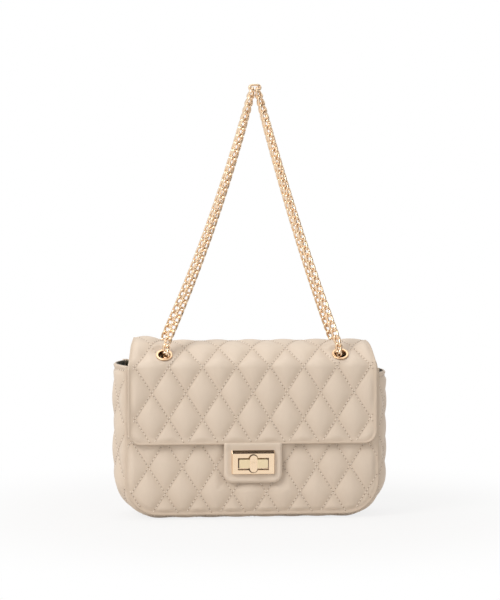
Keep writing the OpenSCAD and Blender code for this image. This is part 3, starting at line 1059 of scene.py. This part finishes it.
def back_fold():
    """A strip of leather inside the flap's back edge."""
    grid, out = [], []
    for b in spread(FOLD_Z - FOLD_STRIP, FOLD_Z + FOLD_STRIP, 0.5):
        past = max(0, b - FOLD_Z)
        place, normal = crown_place(0, FLAP_END - past)
        z = place.z if past else b
        xs = spread(-FOLD_STRIP_W / 2, FOLD_STRIP_W / 2, 6)
        grid.append([Vector((x, place.y, z)) - normal * FOLD_STRIP_IN for x in xs])
        out.append([normal] * len(xs))
    made = thin_sheet("back_fold_strip", grid, out, FOLD_STRIP_T, leather_material())
    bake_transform(made)


class BAG_OT_flap(bpy.types.Operator):
    """Makes the quilted flap, open at its four grommets, with its stitching"""

    bl_idname = "bag.flap"
    bl_label = "Flap"

    def execute(self, context):
        shares, ways = flap_grid(1.15)
        rows, inner = [], []
        for b in ways:
            reach = flap_half_width(b)
            rows.append([flap_surface(u * reach, b) for u in shares])
            places = [flap_place(u * reach, b) for u in shares]
            inner.append([point - out * FLAP_T for point, out in places])
        made = pad("quilted_flap", rows, inner,
                   lambda middle: middle.z > FOLD_Z and grommet_distance(middle) < HOLE_R)
        finish_pad(made, "flap_top_leather", "flap_front_leather")
        bend_over_fold(made)
        lines = quilt_lines(FLAP_CROSS, lambda a, b: FLAP_LOW < b < FLAP_END - 2 and abs(a) < FLAP_W / 2
                            and flap_edge(a, b) > 4.6
                            and grommet_distance(flap_place(a, b)[0]) > GROMMET_R + 1.6)
        for piece in sew("flap", flap_surface, lines):
            bend_over_fold(piece)
        back_fold()
        return {"FINISHED"}


class BAG_OT_tab(bpy.types.Operator):
    """Makes the plain leather tab under the lock's frame"""

    bl_idname = "bag.tab"
    bl_label = "Tab"

    def execute(self, context):
        made = plate_pad("lock_tab", tab_surface, (TAB_W, TAB_LOW, TAB_R), TAB_SEWN, 0.6,
                         lambda z: TAB_Y + TAB_T if z < TAB_TOP else TAB_SEWN_REAR,
                         lambda middle: any(abs(middle.x) < half and low < middle.z - LOCK_Z < high
                                            for half, low, high in TAB_OPENINGS))
        finish_pad(made, "tab_leather", fill=0.4)
        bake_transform(made)
        return {"FINISHED"}


class BAG_OT_lining(bpy.types.Operator):
    """Makes the cloth lining of the body and flap and the slip pocket"""

    bl_idname = "bag.lining"
    bl_label = "Lining"

    def execute(self, context):
        self.line_panel("front", PANEL_Y + PANEL_T + CLOTH_GAP, 1)
        self.line_panel("back", BACK_Y - PANEL_T - CLOTH_GAP, -1)
        self.line_gusset()
        self.add_pocket()
        self.line_flap()
        return {"FINISHED"}

    def plate_cloth(self, name, node, plate, high, step, way, place, rests_on):
        """A cloth plate up to high that faces the given way, whose points place() gives from u, x and z."""
        width, low, radius = plate
        grid = []
        for z in plate_heights(low, high, radius, step):
            reach = half_width(z, width, low, radius)
            grid.append([place(u, u * reach, z) for u in spread(-1, 1, 2 * step / width)])
        out = [[Vector((0, way, 0))] * len(row) for row in grid]
        made = thin_sheet(name, grid, out, CLOTH_T, lining_material())
        declare_lining((node,))
        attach(made, "bag")

    def line_panel(self, name, y, way):
        def place(u, x, z):
            p = Vector((x, y, z))
            p.y += way * (0.3 + 0.3 * ripple(p, 32, way))
            if way < 0:
                p.z += left_rise(p.x, z, *BACK_CORNER)
            return p

        self.plate_cloth(name + "_lining_cloth", name + "_lining", CLOTH, RIM_Z, 3, -way, place,
                         name + "_panel")

    def line_gusset(self):
        grid, out = [], []
        for way in spread(0, GUSSET_RUN, 3):
            row, normals = [], []
            for depth in spread(GUSSET_FROM + 1.6, GUSSET_TO - 1.6, 3):
                p, n = gusset_place(depth, way, GUSSET_T + 0.4)
                p -= n * (0.15 + 0.15 * ripple(p, 28, 5))
                p.z = max(p.z, FLOOR_CLOTH_Z)
                row.append(p)
                normals.append(n)
            grid.append(row)
            out.append(normals)
        made = thin_sheet("gusset_lining_cloth", grid, out, CLOTH_T, lining_material())
        declare_lining(("gusset_lining",))
        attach(made, "bag")

    def add_pocket(self):
        def place(u, x, z):
            gape = 1.2 * smooth(z, POCKET_TOP - 40, POCKET_TOP) * (1 - u * u)
            return Vector((x, BACK_Y - PANEL_T - 1.35 - gape, z))

        pocket = (POCKET_W, POCKET_LOW, POCKET_R)
        self.plate_cloth("slip_pocket_cloth", "slip_pocket", pocket, POCKET_TOP, 2.5, -1, place,
                         "back_lining_cloth")

    def line_flap(self):
        shares, ways = flap_grid(1.7)
        grid, out = [], []
        for b in ways[2:]:
            reach = flap_half_width(b) - 2 - 13 * smooth(b, FOLD_Z - 12, FOLD_Z + 4)
            places = [flap_place(u * reach, b) for u in shares]
            grid.append([p - n * (FLAP_T + 0.05 + 0.1 * abs(ripple(p, 30, 9))) for p, n in places])
            out.append([n for p, n in places])
        crown_z = FOLD_Z - 6
        cells = cells_where(grid, lambda middle: middle.z > crown_z and grommet_distance(middle) < WASHER_R)
        grid = [[clear_of_grommets(p, WASHER_R) if p.z > crown_z else p for p in row] for row in grid]
        made = thin_sheet("flap_lining_cloth", grid, out, CLOTH_T, lining_material(), cells)
        declare_lining(("flap_top_lining", "flap_front_lining"))
        bend_over_fold(made)


# Lock and other fittings


def arc_points(centre, radius, start, end, n):
    """Points in n even steps round a centre, from a start to an end in degrees."""
    return [centre + radius * Vector((math.cos(a), math.sin(a)))
            for a in (math.radians(start + (end - start) * i / n) for i in range(n + 1))]


def round_corners(left, low, right, high, radius):
    """Points anticlockwise round a rectangle with rounded corners."""
    points = []
    for x, z, start in ((right, low, -90), (right, high, 0), (left, high, 90), (left, low, 180)):
        centre = Vector((x - math.copysign(radius, x), z + (radius if z == low else -radius)))
        points += arc_points(centre, radius, start, start + 90, 5)
    return points


def window_outline():
    """Points anticlockwise round the frame's window for the bar, with the slot for its band."""
    x, slot = LOCK_WINDOW_L / 2, LOCK_SLOT_W / 2
    low, high = LOCK_SLOT_LOW + slot, LOCK_SLOT_HIGH - slot
    low_turn = math.degrees(math.asin((low - LOCK_WINDOW_LOW) / slot))
    high_turn = math.degrees(math.asin((LOCK_WINDOW_HIGH - high) / slot))
    points = [Vector((-x, LOCK_WINDOW_LOW))]
    points += arc_points(Vector((0, low)), slot, 180 + low_turn, 360 - low_turn, 15)
    points += [Vector((x, LOCK_WINDOW_LOW)), Vector((x, LOCK_WINDOW_HIGH))]
    points += arc_points(Vector((0, high)), slot, high_turn, 180 - high_turn, 15)
    return points + [Vector((-x, LOCK_WINDOW_HIGH))]


def lock_frame_piece():
    """The lock's bright frame with a broad bevel at its top, over the plainer solid one."""
    half, low, high = LOCK_FRAME_W / 2, LOCK_FRAME_RISE - LOCK_FRAME_H / 2, LOCK_FRAME_RISE + LOCK_FRAME_H / 2
    edge = round_corners(-half, low, half, high, LOCK_FRAME_R)
    face = round_corners(LOCK_BEVEL - half, low + LOCK_BEVEL, half - LOCK_BEVEL, high - LOCK_TOP_BEVEL,
                         LOCK_FRAME_R - LOCK_BEVEL)
    window = window_outline()
    back_y, edge_y, face_y = TAB_Y + LOCK_SINK, TAB_Y - LOCK_EDGE_T, TAB_Y - LOCK_T
    points, loops = [], []
    for outline, y in ((edge, back_y), (edge, edge_y), (face, face_y), (window, face_y), (window, back_y)):
        loops.append(range(len(points), len(points) + len(outline)))
        points += [Vector((p.x, y, LOCK_Z + p.y)) for p in outline]
    faces = []
    for a, b in ((0, 1), (1, 2), (3, 4)):
        n = len(loops[a])
        faces += [(loops[a][i], loops[a][(i + 1) % n], loops[b][(i + 1) % n], loops[b][i]) for i in range(n)]
    for outer, inner in ((2, 3), (0, 4)):
        order = list(loops[outer]) + list(loops[inner])
        flat = [[Vector((points[i].x, points[i].z, 0)) for i in loops[k]] for k in (outer, inner)]
        faces += [tuple(order[i] for i in triangle) for triangle in geometry.tessellate_polygon(flat)]
    made = mesh_object("lock_frame_bright", points, faces, gold_material())
    close_up(made)
    made.data.set_sharp_from_angle(angle=math.radians(20))
    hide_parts("lock_frame")
    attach(made, "tab")


def fitting_material(name):
    """The material of a CAD fitting, or None for a node that isn't one."""
    if name.startswith("grommet_"):
        return soft_gold_material()
    if name in ("turn_bar", "lock_base_plate"):
        return pale_gold_material()
    if name == "base_board":
        return board_material()
    if name.startswith(("lock_", "washer_")) or name == "turn_band":
        return gold_material()
    return None


class BAG_OT_fittings(bpy.types.Operator):
    """Finishes the lock, grommets and washers in gold and the base board in pressed board"""

    bl_idname = "bag.fittings"
    bl_label = "Fittings"

    def execute(self, context):
        for name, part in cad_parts.items():
            material = fitting_material(name)
            if material:
                part.data.materials.clear()
                part.data.materials.append(material)
        lock_frame_piece()
        return {"FINISHED"}


# Chains


def curve_points(p, q, r, s, n):
    """Points of a curve that leaves p towards q and reaches s from r."""
    points = []
    for i in range(n + 1):
        t = i / n
        points.append(((1 - t) ** 3) * p + 3 * t * (1 - t) ** 2 * q + 3 * t * t * (1 - t) * r + t ** 3 * s)
    return points


def even_points(points):
    """An odd number of even steps, about a link's step long, along a run of points."""
    lengths = [(b - a).length for a, b in zip(points, points[1:])]
    total = sum(lengths)
    n = 2 * int(total / LINK_STEP / 2) + 1
    found = []
    for i in range(n + 1):
        left, k = total * i / n, 0
        while k < len(lengths) - 1 and left > lengths[k]:
            left -= lengths[k]
            k += 1
        found.append(points[k] + (points[k + 1] - points[k]) * left / lengths[k])
    return found


def leg_points(side, top_x):
    """The route of one leg in its strand's plane, from its grommet to the level link at the top."""
    out = Vector((side * math.cos(LEG_RISE), -math.sin(LEG_RISE)))
    offset = (WIRE + LINK_GAP) / 2
    a = Vector((side * CHAIN_X, -(WIRE / 2 + 0.3 - LINK_GAP / 2)))
    b = a + Vector((0, LINK_STEP))
    c = Vector((top_x + side * (LINK_STEP / 2 + offset - BOW_R), STRAND_L)) + (BOW_R - offset) * out
    return [a] + curve_points(b, b + Vector((0, FOOT_RISE)), c + LEG_PULL * STRAND_L * out, c, 40)


def link_mesh(pitch, twist):
    """One wire link along X, twisted about its length from its middle to each end, as points and faces."""
    strap = bpy.context.scene.bag_strap
    wire = strap.wire / MM
    bow = (strap.link_width / MM - wire) / 2
    half = (pitch + wire + LINK_GAP) / 2 - bow
    path = []
    for end in (1, -1):
        for k in range(7):
            turn = math.pi * k / 6
            path.append(Vector((end * (half + bow * math.sin(turn)), end * bow * math.cos(turn), 0)))
        path.append(Vector((0, -end * bow, 0)))
    turns = [twist * p.x / (half + bow) for p in path]
    twisted = [Vector((p.x, p.y * math.cos(turn), p.y * math.sin(turn))) for p, turn in zip(path, turns)]
    count, sides = len(twisted), 6
    points = []
    for i, p in enumerate(twisted):
        run = (twisted[(i + 1) % count] - twisted[i - 1]).normalized()
        flat = Vector((0, -math.sin(turns[i]), math.cos(turns[i])))
        side = (flat - run * flat.dot(run)).normalized()
        out = run.cross(side)
        for k in range(sides):
            a = 2 * math.pi * k / sides
            points.append(p + (side * math.cos(a) + out * math.sin(a)) * wire / 2)
    return points, tube_faces(count, sides, closed=True)


def joined(name, pieces):
    """One object of several meshes."""
    shape = bmesh.new()
    for piece in pieces:
        shape.from_mesh(piece.data)
    shape.to_mesh(pieces[0].data)
    shape.free()
    for piece in pieces[1:]:
        bpy.data.objects.remove(piece)
    pieces[0].name = pieces[0].data.name = name
    return pieces[0]


def chain(name, routes, place, node, body, level=None):
    """Chains of twisted links along routes, which place() puts in the bag's frame, and a flat level link."""
    twist = bpy.context.scene.bag_strap.link_twist
    pieces = []
    for number, route in enumerate(routes):
        points = even_points(route)
        count = len(points) - 1
        places = []
        for i in range(count):
            start, upright = place(points[i])
            end, _ = place(points[i + 1])
            run = (end - start).normalized()
            roll = min(count - 1 - i, TURNING_LINKS) - min(i, TURNING_LINKS)
            turned = Quaternion(run, -twist * roll / TURNING_LINKS) @ upright
            places.append(((start + end) / 2, run, turned))
        step = sum((points[i + 1] - points[i]).length for i in range(count)) / count
        pieces.append(scatter(name + str(number), places, *link_mesh(step, twist), gold_material()))
    if level:
        left, right = (place(level + Vector((way * LINK_STEP / 2, 0)))[0] for way in (-1, 1))
        places = [((left + right) / 2, (right - left).normalized(), place(level)[1])]
        pieces.append(scatter(name + "level", places, *link_mesh(LINK_STEP, 0), gold_material()))
    made = joined(name, pieces)
    close_up(made)
    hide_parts(node)
    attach(made, body)


class BAG_OT_chains(bpy.types.Operator):
    """Makes the strap's two strands and the lengths of chain inside the flap"""

    bl_idname = "bag.chains"
    bl_label = "Chains"

    def execute(self, context):
        lean = math.atan2(STRAND_Y, STRAND_Z)
        for name, way in (("front", 1), ("back", -1)):
            up = Vector((0, way * math.sin(lean), math.cos(lean)))
            face = Vector((0, -way * math.cos(lean), math.sin(lean)))

            def place(p, way=way, up=up, face=face):
                return Vector((way * p.x, way * PIVOT_Y, PIVOT_Z)) + up * p.y, face

            chain(name + "_strand_links", [leg_points(side, way * TOP_X) for side in (-1, 1)], place,
                  name + "_chain", name + "_strand", Vector((way * TOP_X, STRAND_L)))
        route = self.inner_route()
        for name, side in (("left", -1), ("right", 1)):

            def place(p, side=side):
                return Vector((side * CHAIN_X, p.x, DOME_Z + p.y)), Vector((1, 0, 0))

            chain(name + "_inner_links", [route], place, "inner_chain_" + name, "flap_top")
        return {"FINISHED"}

    def inner_route(self):
        """The way under the crown from a front grommet to the back one, about the crown's middle."""
        tilt = math.degrees(GROMMET_TILT)
        inward = Vector((math.cos(GROMMET_TILT), -math.sin(GROMMET_TILT)))
        a = -(PIVOT_R - WIRE / 2 - LINK_GAP / 2) * inward
        left = (a + LINK_STEP * inward).length
        middle = Vector((0, left / math.sin(GROMMET_TILT)))
        bend = arc_points(middle, left / math.tan(GROMMET_TILT), 270 - tilt, 270 + tilt, 24)
        return [a] + bend + [Vector((-a.x, a.y))]


# Stage


def straight_rays(tree):
    """1 for rays that come straight from the camera, a reflection or a clear material, and 0 for others."""
    path = tree.nodes.new("ShaderNodeLightPath").outputs
    clear = math_node(tree, "MAXIMUM", path["Is Glossy Ray"], path["Is Transmission Ray"])
    return math_node(tree, "MAXIMUM", path["Is Camera Ray"], clear)


def floor_material():
    """Pale floor that stays white to the camera but for a soft shadow."""
    material, tree, _ = new_material("pale_floor", Roughness=0.9, BaseColor=FLOOR_COLOUR,
                                     SpecularIORLevel=0.1)
    away = tree.nodes.new("ShaderNodeVectorMath")
    away.operation = "LENGTH"
    feed(tree, away.inputs[0], object_place(tree))
    share = tree.nodes.new("ShaderNodeMapRange")
    share.interpolation_type = "SMOOTHSTEP"
    for name, value in (("From Min", 0.16), ("From Max", 0.42), ("To Min", 0.82), ("To Max", 1.0),
                        ("Value", away.outputs["Value"])):
        feed(tree, share.inputs[name], value)
    glow = tree.nodes.new("ShaderNodeEmission")
    feed(tree, glow.inputs["Strength"], 1.0)
    mixed = tree.nodes.new("ShaderNodeMixShader")
    bright = times(tree, straight_rays(tree), share.outputs["Result"])
    for place, value in enumerate((bright, tree.nodes["Principled BSDF"].outputs[0], glow.outputs[0])):
        feed(tree, mixed.inputs[place], value)
    feed(tree, tree.nodes["Material Output"].inputs["Surface"], mixed.outputs[0])
    return material


def stage_plane(name, corner, across, up, material, order=(0, 1, 2, 3)):
    """A rectangle of the stage with two edges from a corner."""
    corner, across, up = Vector(corner), Vector(across), Vector(up)
    made = mesh_object(name, [corner, corner + across, corner + across + up, corner + up], [order], material)
    return made


class BAG_OT_stage(bpy.types.Operator):
    """Sets the pale floor, the soft lamps, the world and the camera"""

    bl_idname = "bag.stage"
    bl_label = "Stage"

    def execute(self, context):
        scene = context.scene
        scene.view_settings.view_transform = "Standard"
        self.add_floor_and_cards()
        self.add_world(scene)
        self.add_lamps(scene)
        self.add_camera(scene)
        return {"FINISHED"}

    def add_floor_and_cards(self):
        stage_plane("studio_floor", (-4000, -4000, 0), (8000, 0, 0), (0, 8000, 0), floor_material())
        # Dark cards that only reflections see: painted dark reflections on the gold, with no light or shade
        # of their own on the bag
        for name, corner, across, up in (
                ("front_card", (-900, -2900, 300), (1800, 0, 0), (0, 0, 1800)),
                ("top_card", (-900, -1150, 1200), (1800, 0, 0), (0, 700, 0)),
                ("right_card", (1100, -1500, 60), (0, 1800, 0), (0, 0, 840))):
            dark = new_material("reflection_only_dark", Roughness=0.9, BaseColor=CARD_COLOUR)[0]
            card = stage_plane(name, corner, across, up, dark, (3, 2, 1, 0))
            card.visible_camera = False
            card.visible_diffuse = False
            card.visible_shadow = False

    def add_world(self, scene):
        """A white world that lights the bag less than it shows."""
        world = bpy.data.worlds.new("studio")
        scene.world = world
        world.use_nodes = True
        tree = world.node_tree
        inputs = tree.nodes["Background"].inputs
        strength = plus(tree, WORLD_LIGHT, times(tree, straight_rays(tree), 1 - WORLD_LIGHT))
        feed(tree, inputs["Strength"], strength)
        feed(tree, inputs["Color"], (1, 1, 1))

    def add_lamps(self, scene):
        for name, place, aim, size, power in (
                ("key", (-1.6, -1.4, 1.7), (0, 0, 0.12), 1.0, 33),
                ("fill", (1.4, -1.5, 0.9), (0, 0, 0.15), 1.4, 3),
                ("top", (-0.2, 0.2, 2.2), (0, 0, 0.1), 1.4, 9)):
            lamp = bpy.data.lights.new(name, "AREA")
            lamp.shape = "SQUARE"
            lamp.size = size
            lamp.energy = power
            holder = bpy.data.objects.new(name, lamp)
            scene.collection.objects.link(holder)
            holder.location = place
            holder.rotation_euler = (Vector(aim) - Vector(place)).to_track_quat("-Z", "Y").to_euler()

    def add_camera(self, scene):
        camera = bpy.data.cameras.new("camera")
        holder = bpy.data.objects.new("camera", camera)
        scene.collection.objects.link(holder)
        camera.sensor_fit = "VERTICAL"
        camera.sensor_height = SENSOR_H
        camera.lens = SENSOR_H * CAMERA_DISTANCE / PICTURE_H
        camera.clip_end = 50
        toward = Vector((-math.sin(CAMERA_YAW) * math.cos(CAMERA_RISE),
                         -math.cos(CAMERA_YAW) * math.cos(CAMERA_RISE), math.sin(CAMERA_RISE)))
        holder.location = Vector(CAMERA_AIM) + toward * CAMERA_DISTANCE
        holder.rotation_euler = (-toward).to_track_quat("-Z", "Y").to_euler()
        scene.camera = holder


class BAG_PT_panel(bpy.types.Panel):
    """Lists the bag's pieces with their sizes and colours"""

    bl_label = "Quilted Bag"
    bl_idname = "BAG_PT_panel"
    bl_space_type = "VIEW_3D"
    bl_region_type = "UI"
    bl_category = "Bag"

    def draw(self, context):
        for group in (context.scene.bag_quilting, context.scene.bag_strap, context.scene.bag_colours):
            box = self.layout.box()
            for name in group.__annotations__:
                box.prop(group, name)
        for operator in OPERATORS:
            self.layout.operator(operator.bl_idname)


GROUPS = {"bag_quilting": BagQuilting, "bag_strap": BagStrap, "bag_colours": BagColours}
OPERATORS = (BAG_OT_panels, BAG_OT_gusset, BAG_OT_flap, BAG_OT_tab, BAG_OT_lining, BAG_OT_fittings,
             BAG_OT_chains, BAG_OT_stage)


def register():
    for made in (*GROUPS.values(), *OPERATORS, BAG_PT_panel):
        bpy.utils.register_class(made)
    for name, group in GROUPS.items():
        setattr(bpy.types.Scene, name, bpy.props.PointerProperty(type=group))


def unregister():
    for name in GROUPS:
        delattr(bpy.types.Scene, name)
    for made in reversed((*GROUPS.values(), *OPERATORS, BAG_PT_panel)):
        bpy.utils.unregister_class(made)


def main():
    register()
    bpy.ops.bag.panels()
    bpy.ops.bag.gusset()
    bpy.ops.bag.flap()
    bpy.ops.bag.tab()
    bpy.ops.bag.lining()
    bpy.ops.bag.fittings()
    bpy.ops.bag.chains()
    bpy.ops.bag.stage()


if __name__ == "__main__":
    main()
